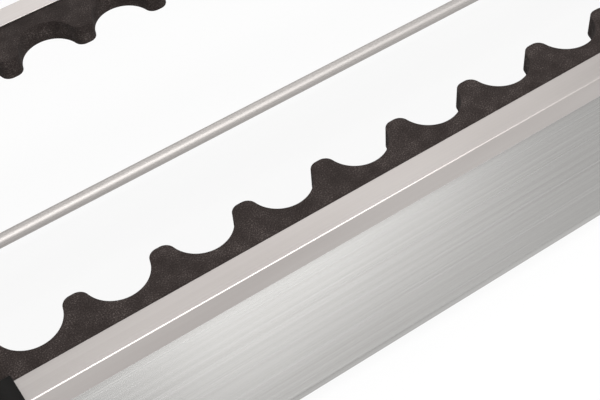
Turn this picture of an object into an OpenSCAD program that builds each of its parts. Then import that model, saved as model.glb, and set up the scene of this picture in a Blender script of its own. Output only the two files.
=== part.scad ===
// Free-standing rod rack for two rows of fishing rods.
// Two moulded end frames carry four aluminium channels. Each channel holds a die-cut foam strip whose
// scallops face inwards. Two sloped sheet panels carry the rod butts, and a thin tube ties the frames.
// Origin: bottom centre. X runs along the rails, -Y is the front row, Z is up. Millimetres.

/* [Rack] */
// Rods held in each row
rods_per_side = 12; // [4:1:16]
// Distance from one rod to the next
rod_pitch = 50; // [44:1:70]
// Distance across the rack, over both channels
rack_depth = 267; // [240:1:320]
// Height of the lower foam's top face above the floor
lower_foam_z = 192; // [180:1:230]
// Height from the lower foam's top face to the upper foam's top face
tier_height = 360; // [260:5:480]

/* [Channel] */
// Width of the channel's lips
channel_w = 15.3; // [14:0.1:20]
// Thickness of the channel's walls
channel_wall = 1.2; // [1:0.1:2]
// Rounding of the channel's outer edges
channel_edge_r = 1.1; // [0.4:0.1:1.2]

/* [Foam strip] */
// Thickness of the foam
foam_t = 14.2; // [12:0.2:20]
// Foam between the channel's lip and the bottom of a scallop
foam_web = 11.2; // [8:0.1:16]
// Depth of a scallop from its tips
scallop_depth = 18.7; // [14:0.1:20]
// Radius of a scallop
scallop_r = 18.4; // [15:0.1:19]
// Largest rounding of the tooth between two scallops
tip_r = 6.1; // [3:0.1:8]

/* [End frame] */
// Thickness of the moulding
frame_t = 16; // [12:1:22]
// Distance from the last tooth to the moulding's inner face
end_margin = 14; // [12:1:24]
// Width of the uprights and of the two cross bars
member_w = 30; // [28:1:36]
// Width of each sloping leg
leg_w = 24; // [20:1:30]
// Rounding of the top corners
frame_corner_r = 14; // [8:1:18]
// Rounding of the windows' corners
window_r = 10; // [4:1:12]
// Depth to which the inner face is cored out
core_depth = 9; // [5:0.5:9]
// Depth of the recess in the outer face
face_recess = 2; // [1:0.5:3]
// Thickness of the rim around each cored pocket
rim_w = 4; // [3:0.5:6]
// Thickness of the ribs across the pockets
rib_t = 2.4; // [1.6:0.2:4]
// Target distance between ribs
rib_spacing = 42; // [25:1:70]
// Depth of the sockets that hold the channels
socket_depth = 18; // [14:1:24]
// Wall of the sockets
socket_wall = 2.4; // [2:0.2:4]
// How far a socket reaches past the channel's lip
socket_reach = 2.5; // [1:0.5:6]

/* [Base panel] */
// Thickness of the sheet
panel_t = 1.5; // [1:0.1:2.5]
// Width of the sloping face
panel_w = 92; // [70:1:104]
// Height of the panel's lower edge above the floor
panel_edge_z = 26; // [18:1:30]
// Distance from the channel's outer face in to the panel's lower edge
panel_inset = 18.6; // [16:0.1:24]
// Height of the folded lower flange
lower_flange = 5; // [4:0.5:9]
// Width of the folded upper flange
upper_flange = 6; // [5:0.5:12]
// Inside radius of the folds
fold_r = 0.8; // [0.6:0.1:2.5]
// Thickness of the ledges under the panel
ledge_t = 3; // [2:0.5:5]
// Reach of the ledges from the moulding
ledge_reach = 14; // [12:1:20]

/* [Tie tube] */
// Outer diameter of the tube
tube_d = 8; // [6:0.5:14]
// Wall of the tube
tube_wall = 1; // [0.8:0.1:1.5]
// Distance from the lower foam's top face down to the tube's axis
tube_drop = 39.6; // [38:0.2:50]
// Diameter of the boss that takes the tube's end
boss_d = 18; // [16:1:24]
// Depth of the tube's seat in the boss
boss_depth = 9; // [6:1:14]
// Length of the threaded plug in the tube's end
plug_len = 16; // [12:1:25]

/* [Feet and screws] */
// Height of the feet
foot_h = 5; // [4:0.5:10]
// Diameter of the stem that holds a foot
foot_stem_d = 7; // [5:0.5:8]
// Length of the foot's stem
foot_stem_len = 9; // [6:1:14]
// Thread diameter of the screws
screw_d = 4; // [3:0.5:5]
// Diameter of the screw heads
head_d = 7.6; // [6:0.2:9]
// Height of the screw heads
head_h = 2.2; // [1.6:0.2:3]
// Length of the screws in the sockets
socket_screw_len = 9; // [7:0.5:12]

/* [Fits] */
// Gap round a piece that slides into a socket
fit_gap = 0.15; // [0.1:0.05:0.4]
// Gap left at the ends of the rails, foams and panels
end_gap = 0.3; // [0.2:0.1:1]

/* [Hidden] */
$fn = 48;

// Cuts reach this far past a face
past = 1;
// Steps in a quarter turn of a rounded corner
corner_steps = 6;

// Along the rails
row_half = rods_per_side * rod_pitch / 2;
frame_in_x = row_half + end_margin;
frame_out_x = frame_in_x + frame_t;
socket_face_x = frame_in_x - socket_depth;
piece_half = frame_in_x - end_gap;

// Across the rack
rail_y = rack_depth / 2;
lip_y = rail_y - channel_w;
scallop_y = lip_y - foam_web;
tip_y = scallop_y - scallop_depth;
foam_back_y = rail_y - channel_wall - end_gap;
frame_y = rail_y + fit_gap + socket_wall;
window_y = frame_y - member_w;

// Heights
channel_h = foam_t + 2 * channel_wall;
upper_foam_z = lower_foam_z + tier_height;
socket_rise = channel_wall + fit_gap + socket_wall;
socket_h = channel_h + 2 * (fit_gap + socket_wall);
frame_top_z = upper_foam_z + socket_rise + frame_corner_r;
top_bar_z = frame_top_z - member_w - frame_corner_r / 2;
mid_bar_top_z = lower_foam_z + socket_rise + frame_corner_r / 3;
mid_bar_z = mid_bar_top_z - member_w;
tube_z = lower_foam_z - tube_drop;

// The sloping legs and panels lie along a line from the panel's lower edge to the tube
panel_y = rail_y - panel_inset;
slope = atan2(tube_z - panel_edge_z, panel_y);
hub_r = boss_d / 2 + 8;
leg_out = leg_w * 0.54;
leg_in = leg_w - leg_out;

// The base of each upright is as wide as the upright, or as the leg where that reaches the floor first
base_in_y = min(window_y, slope_y(foot_h, -leg_in));
base_out_y = frame_y - window_r / 2;
foot_y = (base_in_y + base_out_y) / 2;

// The tooth's tip blends into the scallops on both sides of it
tip_limit = (pow(rod_pitch / 2, 2) + pow(scallop_depth, 2)) / (2 * scallop_depth) - scallop_r;
tip_round = min(tip_r, tip_limit);
blend = asin((scallop_r + tip_round - scallop_depth) / (scallop_r + tip_round));
tip_half = rod_pitch / 2 - (scallop_r + tip_round) * cos(blend);

// Screws
screw_hole_d = screw_d + 0.3;
socket_screw_x = socket_face_x + socket_depth / 2;
panel_screw_x = frame_in_x - ledge_reach / 2;
panel_screw_s = [0.25, 0.75] * panel_w;
tube_head_depth = head_h + 1.2;

function arc(c, r, a0, a1, steps) =
    [for (i = [0 : steps]) let (a = a0 + (a1 - a0) * i / steps) [c[0] + r * cos(a), c[1] + r * sin(a)]];

function unit(v) = v / norm(v);

// One rounded corner: b is the corner, and the outline comes from a and leaves for c
function corner(a, b, c, r) =
    let (u = unit(a - b), v = unit(c - b), half = acos(u * v) / 2,
         centre = b + unit(u + v) * r / sin(half),
         p = b + u * r / tan(half) - centre, q = b + v * r / tan(half) - centre,
         a0 = atan2(p[1], p[0]), turn = atan2(p[0] * q[1] - p[1] * q[0], p * q),
         steps = max(2, ceil(abs(turn) * corner_steps / 90)))
    arc(centre, r, a0, a0 + turn, steps);

// A closed outline from corners written as [x, y, radius]
function rounded(pts) =
    let (n = len(pts), at = function (i) [pts[(i + n) % n][0], pts[(i + n) % n][1]])
    [for (i = [0 : n - 1])
        each (pts[i][2] > 0 ? corner(at(i - 1), at(i), at(i + 1), pts[i][2]) : [at(i)])];

function box_pts(x0, y0, x1, y1, r) = rounded([[x0, y0, r], [x1, y0, r], [x1, y1, r], [x0, y1, r]]);

// A point on the panel's line: s along it from the lower edge, off above it. The back row has +Y
function on_slope(s, off) =
    [panel_y - s * cos(slope) + off * sin(slope), panel_edge_z + s * sin(slope) + off * cos(slope)];

// Where the panel's line, moved up by off, reaches a given y or z
function slope_z(y, off) = let (p = on_slope(0, off)) p[1] + (p[0] - y) * tan(slope);
function slope_y(z, off) = let (p = on_slope(0, off)) p[0] - (z - p[1]) / tan(slope);

module left() mirror([1, 0, 0]) children();
module front() mirror([0, 1, 0]) children();
module both_rows() {
    children();
    front() children();
}

// The same for a Y-Z outline, before it gets its length
module both_sides() {
    children();
    mirror([1, 0]) children();
}

// Draws a Y-Z outline and gives it length along X
module along_x(x0, x1) translate([x0, 0, 0]) rotate([90, 0, 90]) linear_extrude(x1 - x0) children();

// The four places of a channel, at the height of the foam's top face
module both_tiers() for (z = [lower_foam_z, upper_foam_z]) translate([0, 0, z]) children();

module channel_outline() polygon(rounded([
    [lip_y, -foam_t - channel_wall, 0],
    [rail_y, -foam_t - channel_wall, channel_edge_r],
    [rail_y, channel_wall, channel_edge_r],
    [lip_y, channel_wall, 0],
    [lip_y, 0, 0],
    [rail_y - channel_wall, 0, 0],
    [rail_y - channel_wall, -foam_t, 0],
    [lip_y, -foam_t, 0]]));

// Screw holes across both ends of a channel and its foam, at the height of the foam's middle
module socket_screw_holes(d) for (x = [-socket_screw_x, socket_screw_x])
    translate([x, frame_y + past, -foam_t / 2]) rotate([90, 0, 0]) cylinder(h = frame_y + past - lip_y, d = d);

module channel() color("silver") difference() {
    along_x(-piece_half, piece_half) channel_outline();
    socket_screw_holes(screw_hole_d);
}

// The die-cut edge, written as [place along the strip, height over the scallops' bottoms]
function scallop_edge() = [for (k = [-1 : rods_per_side])
    let (tooth = k * rod_pitch - row_half, next = tooth + rod_pitch)
    each concat(
        arc([tooth + tip_half, scallop_depth - tip_round], tip_round, 90, blend, 5),
        arc([tooth + rod_pitch / 2, scallop_r], scallop_r, 180 + blend, 360 - blend, 14),
        arc([next - tip_half, scallop_depth - tip_round], tip_round, 180 - blend, 90, 5))];

module foam_outline() {
    edge = scallop_edge();
    ends = row_half + rod_pitch;
    intersection() {
        polygon(concat(
            [[ends, foam_back_y], [-ends, foam_back_y]],
            [for (i = [0 : len(edge) - 1]) if (i == 0 || norm(edge[i] - edge[i - 1]) > 0.01)
                [edge[i][0], scallop_y - edge[i][1]]]));
        translate([-piece_half, tip_y - past])
            square([2 * piece_half, foam_back_y - tip_y + 2 * past]);
    }
}

module foam() color("#3a3532") difference() {
    translate([0, 0, -foam_t]) linear_extrude(foam_t) foam_outline();
    socket_screw_holes(screw_hole_d + 0.5);
}

// The end frame's face, with an upper window, two side windows and the opening between the legs
module frame_outline() {
    hub_side = hub_r + rim_w;
    foot_line = foot_h - past;
    difference() {
        polygon(rounded([
            [-frame_y, foot_h, window_r / 2], [frame_y, foot_h, window_r / 2],
            [frame_y, frame_top_z, frame_corner_r], [-frame_y, frame_top_z, frame_corner_r]]));
        polygon(box_pts(-window_y, mid_bar_top_z, window_y, top_bar_z, window_r));
        both_sides() polygon(rounded([
            [window_y, slope_z(window_y, leg_out), window_r],
            [window_y, mid_bar_z, window_r],
            [hub_side, mid_bar_z, window_r],
            [hub_side, slope_z(hub_side, leg_out), window_r]]));
        intersection() {
            polygon(rounded([
                [slope_y(foot_line, -leg_in), foot_line, 0],
                [0, slope_z(0, -leg_in), window_r],
                [-slope_y(foot_line, -leg_in), foot_line, 0]]));
            translate([-window_y, foot_line]) square([2 * window_y, tube_z]);
        }
    }
}

// Bars across a pocket that runs from one length to another, spaced evenly
module ribs(from, to, across) {
    bays = max(1, round((to - from) / rib_spacing));
    if (bays > 1) for (i = [1 : bays - 1])
        translate([from + (to - from) * i / bays - rib_t / 2, across[0]]) square([rib_t, across[1] - across[0]]);
}

// A cored pocket in a member that lies along the outline's first axis
module bar_pocket(from, to, low, high, ribbed) difference() {
    polygon(box_pts(from, low, to, high, rim_w / 2));
    if (ribbed) ribs(from, to, [low - past, high + past]);
}

// Where the frame is thinned: the uprights, the two cross bars and the legs. Ribs are left across them
module pockets(ribbed) {
    upright = [window_y + rim_w, frame_y - rim_w];
    leg_foot = slope_z(window_y + rim_w, leg_out) + 2 * rim_w;
    bar_end = lip_y - socket_reach - 2 * rim_w;
    bar_pocket(-bar_end, bar_end, top_bar_z + rim_w, frame_top_z - rim_w, ribbed);
    bar_pocket(-bar_end, bar_end, mid_bar_z + rim_w, mid_bar_top_z - rim_w, ribbed);
    both_sides() {
        // Upright between the sockets, drawn lying down and stood up
        mirror([1, -1]) {
            bar_pocket(mid_bar_top_z + rim_w, top_bar_z - rim_w, upright[0], upright[1], ribbed);
            bar_pocket(leg_foot, mid_bar_z - rim_w, upright[0], upright[1], ribbed);
        }
        // Leg, drawn along its slope
        translate(on_slope(0, 0)) rotate(180 - slope) mirror([0, 1])
            bar_pocket(leg_w, panel_y / cos(slope) - 1.5 * hub_r, rim_w - leg_in, leg_out - rim_w, ribbed);
    }
}

// A socket round a channel's end: open towards the rack's middle, where the foam passes
module socket() difference() {
    low = -foam_t - socket_rise;
    along_x(socket_face_x, frame_in_x + past) polygon(rounded([
        [lip_y - socket_reach, low, 0.8], [frame_y, low, 1.5],
        [frame_y, socket_rise, 1.5], [lip_y - socket_reach, socket_rise, 0.8]]));
    translate([socket_face_x - past, 0, low + socket_wall])
        cube([socket_depth + past, rail_y + fit_gap, socket_h - 2 * socket_wall]);
    socket_screw_holes(screw_hole_d);
}

// Ledge that carries the panel's end. Inside the cored leg it goes on as a rib
module panel_ledge() {
    run = [panel_w * 0.09, panel_w * 0.88];
    difference() {
        along_x(frame_in_x - ledge_reach, frame_in_x + core_depth + past) polygon([
            on_slope(run[0], -panel_t), on_slope(run[0], -panel_t - ledge_t),
            on_slope(run[1], -panel_t - ledge_t), on_slope(run[1], -panel_t)]);
        panel_screw_holes();
    }
}

module panel_screw_holes() for (s = panel_screw_s)
    translate([panel_screw_x, on_slope(s, 0)[0], on_slope(s, 0)[1]]) rotate([-slope, 0, 0])
        cylinder(h = 4 * (panel_t + ledge_t), d = screw_hole_d, center = true);

module foot_place() translate([frame_in_x + frame_t / 2, foot_y, foot_h]) children();

// The right-hand moulding
module end_frame() color("#1e1d1b") difference() {
    union() {
        difference() {
            along_x(frame_in_x, frame_out_x) frame_outline();
            along_x(frame_in_x - past, frame_in_x + core_depth) pockets(true);
            along_x(frame_out_x - face_recess, frame_out_x + past) pockets(false);
        }
        both_rows() {
            both_tiers() socket();
            panel_ledge();
        }
        translate([frame_in_x - boss_depth, 0, tube_z]) rotate([0, 90, 0])
            cylinder(h = boss_depth + past, d = boss_d);
    }
    // Seat and screw hole of the tie tube
    translate([frame_in_x - boss_depth - past, 0, tube_z]) rotate([0, 90, 0]) {
        cylinder(h = boss_depth + past, d = tube_d + 2 * fit_gap);
        cylinder(h = boss_depth + frame_t + 2 * past, d = screw_hole_d);
    }
    translate([frame_out_x - tube_head_depth, 0, tube_z]) rotate([0, 90, 0])
        cylinder(h = tube_head_depth + past, d = head_d + 1);
    both_rows() foot_place() cylinder(h = foot_stem_len + end_gap, d = foot_stem_d + 2 * fit_gap);
}

// A folded sheet: a short lower flange, the sloping face and a narrow upper flange
module base_panel() color("#c4c6c4") difference() {
    top = on_slope(panel_w, 0);
    along_x(-piece_half, piece_half) polygon(rounded([
        [panel_y, panel_edge_z - lower_flange, 0],
        [panel_y, panel_edge_z, fold_r + panel_t],
        [top[0], top[1], fold_r + panel_t],
        [top[0] - upper_flange, top[1], 0],
        [top[0] - upper_flange, top[1] - panel_t, 0],
        [slope_y(top[1] - panel_t, -panel_t), top[1] - panel_t, fold_r],
        [panel_y - panel_t, slope_z(panel_y - panel_t, -panel_t), fold_r],
        [panel_y - panel_t, panel_edge_z - lower_flange, 0]]));
    panel_screw_holes();
    left() panel_screw_holes();
}

module tie_tube() color("#c8c8c6") translate([-piece_half, 0, tube_z]) rotate([0, 90, 0])
    difference() {
        cylinder(h = 2 * piece_half, d = tube_d);
        translate([0, 0, -past]) cylinder(h = 2 * (piece_half + past), d = tube_d - 2 * tube_wall);
    }

// Threaded plug pressed into the tube's end
module tube_plug() color("#8f8f8a") translate([piece_half - plug_len, 0, tube_z]) rotate([0, 90, 0])
    difference() {
        cylinder(h = plug_len, d = tube_d - 2 * tube_wall);
        translate([0, 0, -past]) cylinder(h = plug_len + 2 * past, d = screw_d + 0.1);
    }

// Button-head screw. Its head sits on the Z = 0 plane and its shank points down
module screw(len) {
    edge = min(1, head_h / 2);
    difference() {
        rotate_extrude() polygon([
            [0, -len], [screw_d / 2 - 0.5, -len], [screw_d / 2, 0.5 - len], [screw_d / 2, 0],
            [head_d / 2, 0], [head_d / 2, head_h - edge], [head_d / 2 - edge, head_h], [0, head_h]]);
        translate([0, 0, head_h * 0.4]) cylinder(h = head_h, d = screw_d * 0.7, $fn = 6);
    }
}

module tube_screw() color("#4a4a4a") translate([frame_out_x - tube_head_depth, 0, tube_z])
    rotate([0, 90, 0]) screw(frame_t - tube_head_depth + plug_len * 0.6);

module socket_screws() color("#4a4a4a") both_rows() both_tiers()
    translate([socket_screw_x, frame_y, -foam_t / 2]) rotate([-90, 0, 0]) screw(socket_screw_len);

module panel_screws() color("#b0b0ac") both_rows() for (s = panel_screw_s)
    translate([panel_screw_x, on_slope(s, 0)[0], on_slope(s, 0)[1]]) rotate([-slope, 0, 0])
        screw(panel_t + ledge_t + 1.5);

// Rubber foot: a pad with a rounded outline, narrower at the floor, and a stem pushed into the frame
module foot() color("#262626") {
    pad = [frame_t - 2, base_out_y - base_in_y - 2];
    foot_place() {
        translate([0, 0, -foot_h]) hull() {
            linear_extrude(1) polygon(box_pts(1 - pad[0] / 2, 1 - pad[1] / 2, pad[0] / 2 - 1, pad[1] / 2 - 1, 3));
            translate([0, 0, 2]) linear_extrude(foot_h - 2)
                polygon(box_pts(-pad[0] / 2, -pad[1] / 2, pad[0] / 2, pad[1] / 2, 3));
        }
        cylinder(h = foot_stem_len, d = foot_stem_d);
    }
}

left() end_frame();  // end_frame_left
end_frame();  // end_frame_right
front() translate([0, 0, lower_foam_z]) channel();  // lower_channel_front
translate([0, 0, lower_foam_z]) channel();  // lower_channel_back
front() translate([0, 0, upper_foam_z]) channel();  // upper_channel_front
translate([0, 0, upper_foam_z]) channel();  // upper_channel_back
front() translate([0, 0, lower_foam_z]) foam();  // lower_foam_front
translate([0, 0, lower_foam_z]) foam();  // lower_foam_back
front() translate([0, 0, upper_foam_z]) foam();  // upper_foam_front
translate([0, 0, upper_foam_z]) foam();  // upper_foam_back
front() base_panel();  // base_panel_front
base_panel();  // base_panel_back
tie_tube();
left() tube_plug();  // tube_plug_left
tube_plug();  // tube_plug_right
left() tube_screw();  // tube_screw_left
tube_screw();  // tube_screw_right
left() front() foot();  // foot_front_left
front() foot();  // foot_front_right
left() foot();  // foot_back_left
foot();  // foot_back_right
left() socket_screws();  // socket_screws_left
socket_screws();  // socket_screws_right
left() panel_screws();  // panel_screws_left
panel_screws();  // panel_screws_right
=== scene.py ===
import math

import bmesh
import bpy
from mathutils import Matrix, Vector


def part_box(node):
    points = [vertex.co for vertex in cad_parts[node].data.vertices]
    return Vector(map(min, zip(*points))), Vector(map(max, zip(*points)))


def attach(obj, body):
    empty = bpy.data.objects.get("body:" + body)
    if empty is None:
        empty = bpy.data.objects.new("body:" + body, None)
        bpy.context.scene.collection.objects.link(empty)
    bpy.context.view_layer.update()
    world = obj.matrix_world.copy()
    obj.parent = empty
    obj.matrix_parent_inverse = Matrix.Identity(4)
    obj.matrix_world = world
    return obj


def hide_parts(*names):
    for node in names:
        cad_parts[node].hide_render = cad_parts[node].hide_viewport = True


# Looks of a free-standing rod rack. Lengths are written in millimetres and turned to metres by MM.
MM = 0.001
# Points that lie closer together than this are one point.
SAME_POINT = 0.002
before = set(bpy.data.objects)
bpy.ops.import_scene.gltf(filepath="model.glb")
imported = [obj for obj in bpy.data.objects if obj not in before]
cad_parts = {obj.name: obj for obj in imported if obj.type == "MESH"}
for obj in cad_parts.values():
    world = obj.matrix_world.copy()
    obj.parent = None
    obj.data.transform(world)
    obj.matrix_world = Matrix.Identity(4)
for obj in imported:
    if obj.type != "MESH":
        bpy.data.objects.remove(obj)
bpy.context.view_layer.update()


# Small helpers

def linear(hex_colour):
    """A colour written as sRGB hex, as Blender's linear red, green, blue and alpha."""
    parts = [int(hex_colour[i:i + 2], 16) / 255 for i in (1, 3, 5)]
    return [c / 12.92 if c <= 0.04045 else ((c + 0.055) / 1.055) ** 2.4 for c in parts] + [1.0]


def add(tree, kind, inputs=None, stops=(), **settings):
    """Adds a node. Inputs are values, or sockets to link. Stops are a ramp's (place, sRGB hex) pairs."""
    node = tree.nodes.new(kind)
    for name, value in settings.items():
        setattr(node, name, value)
    for name, value in (inputs or {}).items():
        if isinstance(value, bpy.types.NodeSocket):
            tree.links.new(value, node.inputs[name])
        else:
            node.inputs[name].default_value = value
    for i, (position, colour) in enumerate(stops):
        band = node.color_ramp.elements
        stop = band[i] if i < 2 else band.new(position)
        stop.position = position
        stop.color = linear(colour)
    return node


def mesh_object(name, verts, faces):
    """A new object at the origin from points in millimetres, with its normals turned outwards."""
    mesh = bpy.data.meshes.new(name)
    mesh.from_pydata([Vector(v) * MM for v in verts], [], faces)
    piece = bpy.data.objects.new(name, mesh)
    bpy.context.scene.collection.objects.link(piece)
    tidy_mesh(mesh)
    return piece


def tidy_mesh(mesh, flat_angle=None):
    """Merges doubles, joins flat neighbours if asked, and turns the normals outwards."""
    shape = bmesh.new()
    shape.from_mesh(mesh)
    bmesh.ops.remove_doubles(shape, verts=shape.verts, dist=SAME_POINT * MM)
    if flat_angle is not None:
        bmesh.ops.dissolve_limit(shape, angle_limit=math.radians(flat_angle),
                                 verts=shape.verts, edges=shape.edges)
    bmesh.ops.recalc_face_normals(shape, faces=shape.faces)
    shape.to_mesh(mesh)
    shape.free()
    for polygon in mesh.polygons:
        polygon.use_smooth = True


def settled(piece):
    """Turns a piece and its modifiers into a plain mesh."""
    graph = bpy.context.evaluated_depsgraph_get()
    graph.update()
    mesh = bpy.data.meshes.new_from_object(piece.evaluated_get(graph), depsgraph=graph)
    piece.modifiers.clear()
    piece.data = mesh
    return piece


def even_shading(piece):
    """Keeps flat faces flat beside their rounded edges, by giving the larger face the full weight."""
    modifier = piece.modifiers.new("even_shading", "WEIGHTED_NORMAL")
    modifier.weight = 100
    return settled(piece)


def dress(piece, material, slot, *replaced):
    """Gives a finished piece its material and body, and hides the nodes that it stands for."""
    piece.data.materials.clear()
    piece.data.materials.append(material)
    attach(piece, "root")
    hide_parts(*replaced)


def box_mm(node):
    """A node's lowest and highest corners in millimetres."""
    low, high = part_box(node)
    return [v / MM for v in low], [v / MM for v in high]


# Materials. Each reads Object coordinates, which here are metres in the rack's own frame.

# The values that nearly all of a grain pattern lies between
GRAIN_RANGE = {"From Min": 0.3, "From Max": 0.7}


def empty_material(name):
    """A new material with an empty node tree, and that tree."""
    material = bpy.data.materials.new(name)
    material.use_nodes = True
    material.node_tree.nodes.clear()
    return material, material.node_tree


def grain(tree, width, length=None, detail=2.0, roughness=0.5):
    """An uneven pattern of marks, about width millimetres wide and length millimetres along the rails."""
    place = add(tree, "ShaderNodeTexCoord").outputs["Object"]
    scale = [1 / ((length or width) * MM), 1 / (width * MM), 1 / (width * MM)]
    marks = add(tree, "ShaderNodeMapping", {"Vector": place, "Scale": scale}).outputs[0]
    return add(tree, "ShaderNodeTexNoise",
               {"Vector": marks, "Scale": 1.0, "Detail": detail, "Roughness": roughness}).outputs[0]


def finish_surface(material, tree, **inputs):
    """Ends a material in its shader. Names are the shader's inputs with _ for a space."""
    values = {name.replace("_", " "): value for name, value in inputs.items()}
    shader = add(tree, "ShaderNodeBsdfPrincipled", values)
    add(tree, "ShaderNodeOutputMaterial", {"Surface": shader.outputs[0]})
    return material


def anodised_extrusion():
    """Clear-anodised 6063 extrusion: satin, faintly warm, with die lines that run along it."""
    material, tree = empty_material("clear_anodised_extrusion")
    # Real die lines are some 0.1 mm apart. They are drawn at 0.9 mm, as coarse as they need to show.
    die_lines = grain(tree, 0.9, 360, detail=3.0)
    clouds = grain(tree, 26, 130)
    tone = add(tree, "ShaderNodeMix", {"Factor": 0.55, "A": die_lines, "B": clouds}).outputs[0]
    colour = add(tree, "ShaderNodeValToRGB", {"Fac": tone}, [(0.3, "#B4AEAB"), (0.7, "#C2BDBA")])
    gloss = add(tree, "ShaderNodeMapRange",
                {"Value": die_lines, **GRAIN_RANGE, "To Min": 0.36, "To Max": 0.48})
    relief = add(tree, "ShaderNodeBump", {"Height": die_lines, "Distance": 0.004 * MM})
    return finish_surface(material, tree, Base_Color=colour.outputs[0], Metallic=1.0,
                          Roughness=gloss.outputs[0], Normal=relief.outputs[0])


def drawn_tube():
    """Drawn aluminium tube, anodised satin: smoother than the extrusion, with barely a streak."""
    material, tree = empty_material("satin_drawn_tube")
    # Real draw lines are under 0.1 mm apart. They are drawn at 0.7 mm, so that they show.
    draw_lines = grain(tree, 0.7, 210)
    colour = add(tree, "ShaderNodeValToRGB", {"Fac": draw_lines}, [(0.3, "#AEAAA7"), (0.7, "#B8B4B1")])
    gloss = add(tree, "ShaderNodeMapRange",
                {"Value": draw_lines, **GRAIN_RANGE, "To Min": 0.5, "To Max": 0.56})
    return finish_surface(material, tree, Base_Color=colour.outputs[0], Metallic=1.0,
                          Roughness=gloss.outputs[0])


def brushed_sheet():
    """Sheet aluminium brushed along its length with a fine belt: long pale and dark scratches."""
    material, tree = empty_material("brushed_sheet")
    # A 180 grit belt leaves scratches 0.1 mm apart. They are drawn at 0.7 mm, so that they show.
    scratches = grain(tree, 0.7, 400, detail=3.0, roughness=0.65)
    bands = grain(tree, 2.4, 3000)
    clouds = grain(tree, 60, 150)
    lines = add(tree, "ShaderNodeMix", {"Factor": 0.4, "A": scratches, "B": bands}).outputs[0]
    tone = add(tree, "ShaderNodeMix", {"Factor": 0.25, "A": lines, "B": clouds}).outputs[0]
    colour = add(tree, "ShaderNodeValToRGB", {"Fac": tone},
                 [(0.3, "#A7A5A3"), (0.7, "#B6B5B3"), (0.5, "#AFAEAC")])
    gloss = add(tree, "ShaderNodeMapRange",
                {"Value": scratches, **GRAIN_RANGE, "To Min": 0.22, "To Max": 0.28})
    relief = add(tree, "ShaderNodeBump", {"Height": scratches, "Distance": 0.002 * MM})
    return finish_surface(material, tree, Base_Color=colour.outputs[0], Metallic=1.0,
                          Roughness=gloss.outputs[0], Normal=relief.outputs[0])


def eva_foam():
    """Closed-cell EVA foam, die-cut: dull charcoal, with fine cut cells and a few pale specks."""
    material, tree = empty_material("closed_cell_eva_foam")
    # Real cells are about 0.3 mm across. They are drawn at 0.75 mm, so that they show.
    cells = grain(tree, 0.75, detail=3.0, roughness=0.7)
    mottle = grain(tree, 9)
    tone = add(tree, "ShaderNodeMix", {"Factor": 0.25, "A": cells, "B": mottle}).outputs[0]
    colour = add(tree, "ShaderNodeValToRGB", {"Fac": tone},
                 [(0.34, "#201A18"), (0.67, "#675E5A"), (0.5, "#312A28"), (0.58, "#3F3836")])
    relief = add(tree, "ShaderNodeBump", {"Height": cells, "Distance": 0.25 * MM})
    return finish_surface(material, tree, Base_Color=colour.outputs[0], Roughness=0.9,
                          Specular_IOR_Level=0.2, Normal=relief.outputs[0])


def moulded_plastic():
    """Injection-moulded ABS in black, from a spark-eroded mould: an even fine grain, a soft gloss."""
    material, tree = empty_material("black_moulded_abs")
    # The mould's real grain is about 0.1 mm across. It is drawn at 0.8 mm, so that it shows.
    texture = grain(tree, 0.8)
    flow = grain(tree, 45)
    colour = add(tree, "ShaderNodeValToRGB", {"Fac": flow}, [(0.35, "#11100F"), (0.65, "#161514")])
    gloss = add(tree, "ShaderNodeMapRange",
                {"Value": texture, **GRAIN_RANGE, "To Min": 0.42, "To Max": 0.58})
    relief = add(tree, "ShaderNodeBump", {"Height": texture, "Distance": 0.03 * MM})
    return finish_surface(material, tree, Base_Color=colour.outputs[0], Specular_IOR_Level=0.1,
                          Roughness=gloss.outputs[0], Normal=relief.outputs[0])


def moulded_rubber():
    """Black rubber of the feet: dull and slightly dusty."""
    material, tree = empty_material("black_rubber")
    dust = grain(tree, 6, detail=3.0)
    colour = add(tree, "ShaderNodeValToRGB", {"Fac": dust}, [(0.35, "#1F1E1D"), (0.7, "#2B2A29")])
    gloss = add(tree, "ShaderNodeMapRange",
                {"Value": dust, **GRAIN_RANGE, "To Min": 0.72, "To Max": 0.88})
    return finish_surface(material, tree, Base_Color=colour.outputs[0], Roughness=gloss.outputs[0])


def black_oxide_steel():
    """Black-oxide steel screws: dark metal with a thin oily gloss."""
    material, tree = empty_material("black_oxide_steel")
    stain = grain(tree, 1.5)
    colour = add(tree, "ShaderNodeValToRGB", {"Fac": stain}, [(0.3, "#2A2A2B"), (0.7, "#3A3A3B")])
    gloss = add(tree, "ShaderNodeMapRange",
                {"Value": stain, **GRAIN_RANGE, "To Min": 0.3, "To Max": 0.42})
    return finish_surface(material, tree, Base_Color=colour.outputs[0], Metallic=1.0,
                          Roughness=gloss.outputs[0])


def zinc_plated_steel():
    """Bright zinc-plated steel of the panel screws and the tube's plugs: pale, with a faint bloom."""
    material, tree = empty_material("zinc_plated_steel")
    bloom = grain(tree, 1.2)
    colour = add(tree, "ShaderNodeValToRGB", {"Fac": bloom}, [(0.3, "#A5A7A8"), (0.7, "#BDBFC0")])
    gloss = add(tree, "ShaderNodeMapRange",
                {"Value": bloom, **GRAIN_RANGE, "To Min": 0.2, "To Max": 0.34})
    return finish_surface(material, tree, Base_Color=colour.outputs[0], Metallic=1.0,
                          Roughness=gloss.outputs[0])


extrusion = anodised_extrusion()
tube_metal = drawn_tube()
sheet_metal = brushed_sheet()
foam = eva_foam()
plastic = moulded_plastic()
rubber = moulded_rubber()
black_steel = black_oxide_steel()
zinc = zinc_plated_steel()


# Repeats. A unit is copied along the rails, or set at marked places, by Geometry Nodes.

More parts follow.
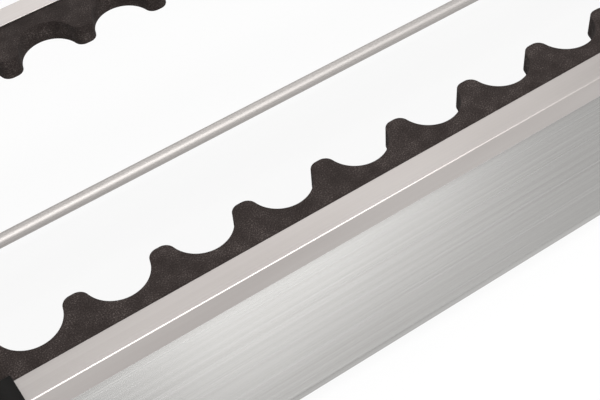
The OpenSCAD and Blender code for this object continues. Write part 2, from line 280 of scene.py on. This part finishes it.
def repeat_tree(name, sizes):
    """A modifier's node tree with the named inputs, and the sockets that bring them in."""
    tree = bpy.data.node_groups.new(name, "GeometryNodeTree")
    tree.is_modifier = True
    tree.interface.new_socket("Geometry", in_out="INPUT", socket_type="NodeSocketGeometry")
    tree.interface.new_socket("Geometry", in_out="OUTPUT", socket_type="NodeSocketGeometry")
    for size, kind in sizes.items():
        tree.interface.new_socket(size, in_out="INPUT", socket_type=kind)
    return tree, add(tree, "NodeGroupInput").outputs


def strip_tree():
    """Copies a unit along a line, joins it to the piece's own mesh and welds the seams."""
    tree, given = repeat_tree("scallops_along_strip", {
        "Unit": "NodeSocketObject", "Copies": "NodeSocketInt", "First": "NodeSocketVector",
        "Step": "NodeSocketVector", "Weld": "NodeSocketFloat", "Material": "NodeSocketMaterial"})
    line = add(tree, "GeometryNodeMeshLine",
               {"Count": given["Copies"], "Start Location": given["First"], "Offset": given["Step"]})
    unit = add(tree, "GeometryNodeObjectInfo", {"Object": given["Unit"]})
    copies = add(tree, "GeometryNodeInstanceOnPoints",
                 {"Points": line.outputs[0], "Instance": unit.outputs["Geometry"]})
    real = add(tree, "GeometryNodeRealizeInstances", {"Geometry": copies.outputs[0]})
    joined = add(tree, "GeometryNodeJoinGeometry", {"Geometry": real.outputs[0]})
    tree.links.new(given["Geometry"], joined.inputs[0])
    welded = add(tree, "GeometryNodeMergeByDistance",
                 {"Geometry": joined.outputs[0], "Distance": given["Weld"]})
    faced = add(tree, "GeometryNodeSetMaterial",
                {"Geometry": welded.outputs[0], "Material": given["Material"]})
    add(tree, "NodeGroupOutput", {"Geometry": faced.outputs[0]})
    return tree


def fastener_tree():
    """Sets a unit at each marked point, with its head along the point's aim."""
    tree, given = repeat_tree("fasteners_at_marks", {
        "Unit": "NodeSocketObject", "Material": "NodeSocketMaterial"})
    unit = add(tree, "GeometryNodeObjectInfo", {"Object": given["Unit"]})
    aim = add(tree, "GeometryNodeInputNamedAttribute", {"Name": "aim"}, data_type="FLOAT_VECTOR")
    turn = add(tree, "FunctionNodeAlignRotationToVector", {"Vector": aim.outputs[0]}, axis="Z")
    copies = add(tree, "GeometryNodeInstanceOnPoints",
                 {"Points": given["Geometry"], "Instance": unit.outputs["Geometry"],
                  "Rotation": turn.outputs[0]})
    real = add(tree, "GeometryNodeRealizeInstances", {"Geometry": copies.outputs[0]})
    faced = add(tree, "GeometryNodeSetMaterial",
                {"Geometry": real.outputs[0], "Material": given["Material"]})
    add(tree, "NodeGroupOutput", {"Geometry": faced.outputs[0]})
    return tree


def repeated(piece, tree, **inputs):
    """Runs a repeat tree on a piece with its inputs set by name, and keeps the plain mesh."""
    modifier = piece.modifiers.new(tree.name, "NODES")
    modifier.node_group = tree
    for item in tree.interface.items_tree:
        if item.in_out == "INPUT" and item.name in inputs:
            modifier[item.identifier] = inputs[item.name]
    tidy_mesh(settled(piece).data)


def drop(piece):
    """Deletes a unit that has been copied."""
    bpy.data.objects.remove(piece, do_unlink=True)


# Foam strips. The die-cut edge is made for one pitch and repeated along the strip.

PITCH = 50.0
RODS_PER_ROW = 12
SCALLOP_R = 18.4
SCALLOP_DEPTH = 18.7
# Rounding of the tooth between two scallops
TIP_R = 6.1
# Rounding that the die leaves on the foam's edges, and the share of it by which its middle is set in
FOAM_EDGE_R = 0.2
MIDDLE_SHARE = 0.293
# Steps round a scallop and round one side of a tooth
SCALLOP_STEPS = 30
TIP_STEPS = 10
# Points of two lengths of foam that lie closer than this are welded.
SEAM = 0.01
strips = strip_tree()


def arc(centre, radius, start, end, steps):
    """Points on an arc with their outward directions. Angles are in degrees."""
    points = []
    for i in range(steps + 1):
        a = math.radians(start + (end - start) * i / steps)
        cos, sin = math.cos(a), math.sin(a)
        points.append((centre[0] + radius * cos, centre[1] + radius * sin, cos, sin))
    return points


def scallop_edge():
    """The cut edge from one tooth's middle to the next, as (along, depth) and its outward direction."""
    reach = SCALLOP_R + TIP_R
    blend = math.degrees(math.asin((reach - SCALLOP_DEPTH) / reach))
    flat = PITCH / 2 - reach * math.cos(math.radians(blend))
    tip = SCALLOP_DEPTH - TIP_R
    hollow = arc((PITCH / 2, SCALLOP_R), SCALLOP_R, 180 + blend, 360 - blend, SCALLOP_STEPS)
    return ([(0, SCALLOP_DEPTH, 0, 1)]
            + arc((flat, tip), TIP_R, 90, blend, TIP_STEPS)[:-1]
            + [(x, y, -nx, -ny) for x, y, nx, ny in hollow]
            + arc((PITCH - flat, tip), TIP_R, 180 - blend, 90, TIP_STEPS)[1:]
            + [(PITCH, SCALLOP_DEPTH, 0, 1)])


def cut_edge(length):
    """The last part of the scallop edge, ending at a tooth's middle: where a strip is cut to length."""
    start = PITCH - length
    off = start - PITCH / 2
    rise = math.sqrt(SCALLOP_R ** 2 - off ** 2)
    first = (start, SCALLOP_R - rise, -off / SCALLOP_R, rise / SCALLOP_R)
    return [first] + [point for point in scallop_edge() if point[0] > start + SEAM]


def foam_length(edge, back, thick, place, capped):
    """Points and faces of a length of strip, between its cut edge and the depth back.

    place turns (along, depth, down) to the rack's frame, and capped closes the first end.
    """
    middle = FOAM_EDGE_R * MIDDLE_SHARE
    rim = [(FOAM_EDGE_R, 0), (middle, middle), (0, FOAM_EDGE_R)]
    rows = rim + [(0, thick / 2)] + [(inset, thick - down) for inset, down in reversed(rim)]
    verts, faces = [], []
    for x, y, nx, ny in edge:
        ring = [(x, back, 0)]
        ring += [(x - nx * inset, y - ny * inset, down) for inset, down in rows]
        ring += [(x, back, thick)]
        verts += [place(*point) for point in ring]
    size = len(ring)
    for i in range(len(edge) - 1):
        for j in range(size):
            a, b = i * size + j, i * size + (j + 1) % size
            faces.append((a, a + size, b + size, b))
    if capped:
        faces.append(tuple(range(size)))
    return verts, faces


def foam_strip(node):
    """One strip: a row's scallops by Geometry Nodes, between two ends that are cut to length."""
    low, high = box_mm(node)
    side = 1 if low[1] > 0 else -1
    tip_y, back_y = sorted((abs(low[1]), abs(high[1])))
    scallop_y = tip_y + SCALLOP_DEPTH
    back, thick, top = scallop_y - back_y, high[2] - low[2], high[2]
    first = -PITCH * RODS_PER_ROW / 2
    spare = first - low[0]

    def along_row(x, y, down):
        return (x, side * (scallop_y - y), top - down)

    def left_end(x, y, down):
        return along_row(first - PITCH + x, y, down)

    def right_end(x, y, down):
        return along_row(PITCH - first - x, y, down)

    unit = mesh_object("scallop", *foam_length(scallop_edge(), back, thick, along_row, False))
    verts, faces = foam_length(cut_edge(spare), back, thick, left_end, True)
    more_verts, more_faces = foam_length(cut_edge(spare), back, thick, right_end, True)
    faces = faces + [tuple(i + len(verts) for i in face) for face in more_faces]
    strip = mesh_object(node + "_die_cut", verts + more_verts, faces)
    repeated(strip, strips, Unit=unit, Copies=RODS_PER_ROW, First=(first * MM, 0, 0),
             Step=(PITCH * MM, 0, 0), Weld=SEAM * MM, Material=foam)
    drop(unit)
    even_shading(strip)
    dress(strip, foam, "foam", node)


for node in ("lower_foam_front", "lower_foam_back", "upper_foam_front", "upper_foam_back"):
    foam_strip(node)


# Rigid pieces whose shape is the node's own. Each keeps it and gets the small rounding of real edges.

FRAME_EDGE_R = 0.5
CHANNEL_EDGE_R = 0.3
PANEL_EDGE_R = 0.3
FOOT_EDGE_R = 0.6
ROUNDING_STEPS = 2
# Degrees between two faces: less than FLAT_TURN is one flat face, more than SHARP_TURN a sharp edge.
FLAT_TURN = 0.2
SHARP_TURN = 40


def mark_sharp_edges(mesh):
    """Marks the sharp outer edges for rounding, and leaves curved faces and inner corners out."""
    shape = bmesh.new()
    shape.from_mesh(mesh)
    mark = shape.edges.layers.float.new("bevel_weight_edge")
    for edge in shape.edges:
        edge[mark] = float(edge.calc_face_angle_signed(0.0) > math.radians(SHARP_TURN))
    shape.to_mesh(mesh)
    shape.free()


def eased(node, material, slot, edge_r):
    """A copy of a node with its sharp outer edges rounded by edge_r millimetres."""
    piece = bpy.data.objects.new(node + "_eased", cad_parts[node].data.copy())
    bpy.context.scene.collection.objects.link(piece)
    tidy_mesh(piece.data, flat_angle=FLAT_TURN)
    mark_sharp_edges(piece.data)
    rounding = piece.modifiers.new("edge_rounding", "BEVEL")
    rounding.width = edge_r * MM
    rounding.segments = ROUNDING_STEPS
    rounding.limit_method = "WEIGHT"
    rounding.use_clamp_overlap = False
    tidy_mesh(settled(piece).data)
    even_shading(piece)
    dress(piece, material, slot, node)


for node in ("end_frame_left", "end_frame_right"):
    eased(node, plastic, "frame", FRAME_EDGE_R)
for node in ("lower_channel_front", "lower_channel_back", "upper_channel_front", "upper_channel_back"):
    eased(node, extrusion, "channel", CHANNEL_EDGE_R)
for node in ("base_panel_front", "base_panel_back"):
    eased(node, sheet_metal, "panel", PANEL_EDGE_R)
for node in ("foot_front_left", "foot_front_right", "foot_back_left", "foot_back_right"):
    eased(node, rubber, "foot", FOOT_EDGE_R)


# Round pieces: the tie tube, its plugs and the screws.

TUBE_WALL = 1.0
TUBE_CHAMFER = 0.3
TUBE_STEPS = 64
PLUG_CHAMFER = 0.4
# Room between a plug's bore and its screw
PLUG_GAP = 0.1
# All screws are M4, without their threads.
SCREW_D = 4.0
SCREW_STEPS = 48
# A screw's tip, and its button head, whose six-sided socket measures SOCKET_R from axis to corner
SHANK_CHAMFER = 0.5
HEAD_R = 3.8
HEAD_H = 2.2
HEAD_CHAMFER = 0.2
SOCKET_R = 1.4
# Shares of the head's height: its straight rim, and the socket's foot at the walls and on the axis
RIM_SHARE = 0.35
SOCKET_FOOT_SHARE = 0.35
SOCKET_CENTRE_SHARE = 0.3
# The dome ends at this many times SOCKET_R.
DOME_END = 1.35
DOME_STEPS = 5
# Radius of the small face that closes a screw on its axis
POLE_R = 0.01


def revolved(name, profile, steps):
    """A closed profile of (radius, height) points turned about the Z axis."""
    verts, faces = [], []
    for i in range(steps):
        a = 2 * math.pi * i / steps
        verts += [(r * math.cos(a), r * math.sin(a), z) for r, z in profile]
    size = len(profile)
    for i in range(steps):
        for j in range(size):
            k, n = (i + 1) % steps, (j + 1) % size
            faces.append((i * size + j, k * size + j, k * size + n, i * size + n))
    return mesh_object(name, verts, faces)


def lay_along_x(piece, centre):
    """Turns a piece's mesh from Z to X and puts it at its place."""
    place = Matrix.Translation(Vector(centre) * MM) @ Matrix.Rotation(math.pi / 2, 4, "Y")
    piece.data.transform(place)


def ring_profile(outer, inner, half, chamfer):
    """Half the section of a tube that is 2 * half long, with its outer ends chamfered."""
    return [(inner, -half), (outer - chamfer, -half), (outer, chamfer - half),
            (outer, half - chamfer), (outer - chamfer, half), (inner, half)]


def tie_tube():
    """The thin tube between the end frames."""
    low, high = box_mm("tie_tube")
    radius, half = (high[2] - low[2]) / 2, (high[0] - low[0]) / 2
    profile = ring_profile(radius, radius - TUBE_WALL, half, TUBE_CHAMFER)
    tube = revolved("tie_tube_drawn", profile, TUBE_STEPS)
    lay_along_x(tube, (0, 0, (low[2] + high[2]) / 2))
    even_shading(tube)
    dress(tube, tube_metal, "tube", "tie_tube")


def tube_plug(node):
    """A plug in one end of the tube, bored for its screw."""
    low, high = box_mm(node)
    radius, half = (high[2] - low[2]) / 2, (high[0] - low[0]) / 2
    profile = ring_profile(radius, SCREW_D / 2 + PLUG_GAP, half, PLUG_CHAMFER)
    plug = revolved(node + "_turned", profile, SCREW_STEPS)
    lay_along_x(plug, [(a + b) / 2 for a, b in zip(low, high)])
    even_shading(plug)
    dress(plug, zinc, "screw", node)


def screw_profile(length):
    """The outside of a button-head screw as (radius, height), from its tip to the end of the dome."""
    shank = SCREW_D / 2
    points = [(POLE_R, -length), (shank - SHANK_CHAMFER, -length), (shank, SHANK_CHAMFER - length),
              (shank, 0), (HEAD_R - HEAD_CHAMFER, 0), (HEAD_R, HEAD_CHAMFER),
              (HEAD_R, HEAD_H * RIM_SHARE)]
    for k in range(1, DOME_STEPS + 1):
        a = math.radians(90 * k / DOME_STEPS)
        narrowed = (HEAD_R - DOME_END * SOCKET_R) * (1 - math.cos(a))
        risen = RIM_SHARE + (1 - RIM_SHARE) * math.sin(a)
        points.append((HEAD_R - narrowed, HEAD_H * risen))
    return points


def button_screw(length):
    """A button-head screw with a six-sided socket. Its head sits on Z = 0 and its shank points down."""
    outside = screw_profile(length)
    verts, faces = [], []
    for i in range(SCREW_STEPS):
        a = 2 * math.pi * i / SCREW_STEPS
        off = (a + math.pi / 6) % (math.pi / 3) - math.pi / 6
        flat_r = SOCKET_R * math.cos(math.pi / 6) / math.cos(off)
        ring = outside + [(flat_r, HEAD_H), (flat_r, HEAD_H * SOCKET_FOOT_SHARE),
                          (POLE_R, HEAD_H * SOCKET_CENTRE_SHARE)]
        verts += [(r * math.cos(a), r * math.sin(a), z) for r, z in ring]
    size = len(ring)
    for i in range(SCREW_STEPS):
        k = (i + 1) % SCREW_STEPS
        for j in range(size - 1):
            faces.append((i * size + j, k * size + j, k * size + j + 1, i * size + j + 1))
    faces.append(tuple(i * size for i in range(SCREW_STEPS)))
    faces.append(tuple(i * size + size - 1 for i in range(SCREW_STEPS)))
    return mesh_object("screw", verts, faces)


fasteners = fastener_tree()


def screws(name, marks, length, material, slot, node):
    """Screws at marks of (place, aim), where aim is the way that the head looks."""
    unit = even_shading(button_screw(length))
    points = bpy.data.meshes.new(name)
    points.from_pydata([Vector(place) * MM for place, _ in marks], [], [])
    aims = points.attributes.new("aim", "FLOAT_VECTOR", "POINT")
    for mark, (_, aim) in zip(aims.data, marks):
        mark.vector = aim
    piece = bpy.data.objects.new(name, points)
    bpy.context.scene.collection.objects.link(piece)
    repeated(piece, fasteners, Unit=unit, Material=material)
    drop(unit)
    even_shading(piece)
    dress(piece, material, slot, node)


SOCKET_SCREW_LENGTH = 9.0
PANEL_SCREW_LENGTH = 6.0
TUBE_SCREW_LENGTH = 22.2
# A panel's width down its slope, and its lower edge: distance from the rack's middle plane, and height
PANEL_WIDTH = 92.0
PANEL_OUT = 114.9
PANEL_UP = 26.0
# Places of a panel's screws up the slope, as shares of its width
PANEL_SCREWS_AT = (0.25, 0.75)


def socket_screws(node):
    """Four screws that hold the ends of four channels in their sockets, from the front and the back."""
    low, high = box_mm(node)
    x = (low[0] + high[0]) / 2
    seat = high[1] - HEAD_H
    heights = (low[2] + HEAD_R, high[2] - HEAD_R)
    marks = [((x, row * seat, z), (0, row, 0)) for row in (-1, 1) for z in heights]
    screws(node + "_button", marks, SOCKET_SCREW_LENGTH, black_steel, "black_screw", node)


def panel_screws(node):
    """Four screws that hold the ends of two panels on their ledges, square to the slope."""
    low, high = box_mm(node)
    x = (low[0] + high[0]) / 2
    tube_low, tube_high = box_mm("tie_tube")
    slope = math.atan2((tube_low[2] + tube_high[2]) / 2 - PANEL_UP, PANEL_OUT)
    marks = []
    for row in (-1, 1):
        for part in PANEL_SCREWS_AT:
            run = part * PANEL_WIDTH
            out, up = PANEL_OUT - run * math.cos(slope), PANEL_UP + run * math.sin(slope)
            marks.append(((x, row * out, up), (0, row * math.sin(slope), math.cos(slope))))
    screws(node + "_button", marks, PANEL_SCREW_LENGTH, zinc, "screw", node)


def tube_screw(node, sign):
    """The screw that holds one end of the tube. sign is -1 on the left and 1 on the right."""
    low, high = box_mm(node)
    seat = sign * (max(abs(low[0]), abs(high[0])) - HEAD_H)
    mark = ((seat, 0, (low[2] + high[2]) / 2), (sign, 0, 0))
    screws(node + "_button", [mark], TUBE_SCREW_LENGTH, black_steel, "black_screw", node)


tie_tube()
for side, sign in (("left", -1), ("right", 1)):
    tube_plug("tube_plug_" + side)
    tube_screw("tube_screw_" + side, sign)
    socket_screws("socket_screws_" + side)
    panel_screws("panel_screws_" + side)


# Camera, worked out from the straight edges in the photograph. Angles are in degrees.

PHOTO_WIDTH = 600
FOCAL_PIXELS = 1247.0
CAMERA_AT = (-335.25, -474.9, 692.3)
CAMERA_TURN = 29.9
CAMERA_DIP = 49.6
CAMERA_ROLL = 5.3


def photo_camera():
    """A camera that looks along +Y, turned to its right, dipped and rolled clockwise."""
    lens = bpy.data.cameras.new("photo_camera")
    lens.sensor_width = 36.0
    lens.lens = FOCAL_PIXELS / PHOTO_WIDTH * lens.sensor_width
    lens.clip_start = 0.02
    lens.clip_end = 50.0
    camera = bpy.data.objects.new("photo_camera", lens)
    bpy.context.scene.collection.objects.link(camera)
    aim = (Matrix.Rotation(math.radians(-CAMERA_TURN), 4, "Z")
           @ Matrix.Rotation(math.radians(90 - CAMERA_DIP), 4, "X")
           @ Matrix.Rotation(math.radians(-CAMERA_ROLL), 4, "Z"))
    camera.matrix_world = Matrix.Translation(Vector(CAMERA_AT) * MM) @ aim
    bpy.context.scene.camera = camera


# Stage: a pale floor, a white surround and soft lamps

# Distance from the rack's middle to the floor's edges
FLOOR_REACH = 6000
# Share of plain white in the floor, to the eye and in reflections. The rest is paint with a shadow.
FLOOR_WHITE = 0.88
# Strength of the surround as a plain light, and of its front in reflections
PLAIN_LIGHT = 0.55
FRONT_WHITE = 0.77
# Between these Y parts of a direction, a reflection goes from FRONT_WHITE to full white.
FRONT_Y = -0.85
REST_Y = -0.3


def pale_floor():
    """A white floor that stays near white to the eye and in reflections, and keeps a soft shadow."""
    corners = [(x * FLOOR_REACH, y * FLOOR_REACH, 0) for x, y in ((-1, -1), (1, -1), (1, 1), (-1, 1))]
    floor = mesh_object("floor", corners, [(0, 1, 2, 3)])
    material, tree = empty_material("pale_floor")
    paint = add(tree, "ShaderNodeBsdfDiffuse", {"Color": linear("#FAFAFA")})
    white = add(tree, "ShaderNodeEmission", {"Color": (1, 1, 1, 1), "Strength": 1.0})
    ray = add(tree, "ShaderNodeLightPath")
    seen = add(tree, "ShaderNodeMath",
               {0: ray.outputs["Is Camera Ray"], 1: ray.outputs["Is Glossy Ray"]}, operation="MAXIMUM")
    share = add(tree, "ShaderNodeMath", {0: seen.outputs[0], 1: FLOOR_WHITE}, operation="MULTIPLY")
    both = add(tree, "ShaderNodeMixShader",
               {0: share.outputs[0], 1: paint.outputs[0], 2: white.outputs[0]})
    add(tree, "ShaderNodeOutputMaterial", {"Surface": both.outputs[0]})
    floor.data.materials.append(material)


def white_surround():
    """White to the eye, white in reflections but for a greyer front, and a plain soft light."""
    world = bpy.data.worlds.new("surround")
    bpy.context.scene.world = world
    world.use_nodes = True
    tree = world.node_tree
    tree.nodes.clear()
    ray = add(tree, "ShaderNodeLightPath")
    direction = add(tree, "ShaderNodeTexCoord").outputs["Generated"]
    depth = add(tree, "ShaderNodeSeparateXYZ", {"Vector": direction}).outputs["Y"]
    mirrored = add(tree, "ShaderNodeMapRange",
                   {"Value": depth, "From Min": FRONT_Y, "From Max": REST_Y,
                    "To Min": FRONT_WHITE, "To Max": 1.0}).outputs[0]
    unseen = add(tree, "ShaderNodeMix",
                 {"Factor": ray.outputs["Is Glossy Ray"], "A": PLAIN_LIGHT, "B": mirrored})
    strength = add(tree, "ShaderNodeMix",
                   {"Factor": ray.outputs["Is Camera Ray"], "A": unseen.outputs[0], "B": 1.0})
    light = add(tree, "ShaderNodeBackground", {"Color": (1, 1, 1, 1), "Strength": strength.outputs[0]})
    add(tree, "ShaderNodeOutputWorld", {"Surface": light.outputs[0]})


def soft_lamp(name, place, target, size, power):
    """A softbox. Place and target are in millimetres, width and height in metres, power in watts."""
    data = bpy.data.lights.new(name, "AREA")
    data.shape = "RECTANGLE"
    data.size, data.size_y = size
    data.energy = power
    lamp = bpy.data.objects.new(name, data)
    bpy.context.scene.collection.objects.link(lamp)
    away = Vector(place) - Vector(target)
    lamp.matrix_world = (Matrix.Translation(Vector(place) * MM)
                         @ away.to_track_quat("Z", "Y").to_matrix().to_4x4())


photo_camera()
pale_floor()
white_surround()
# The key shows along the tube and on the channels' edges, the back one on the lips' tops, and the
# fill in the front panel.
soft_lamp("key_softbox", (70, -1036, 1864), (0, 0, 150), (1.2, 1.6), 32)
soft_lamp("back_softbox", (750, 1500, 1700), (0, 0, 250), (1.4, 0.9), 5)
soft_lamp("front_fill", (510, -1770, 1130), (-100, -100, 60), (0.85, 0.47), 1.7)

view = bpy.context.scene.view_settings
view.view_transform = "Standard"
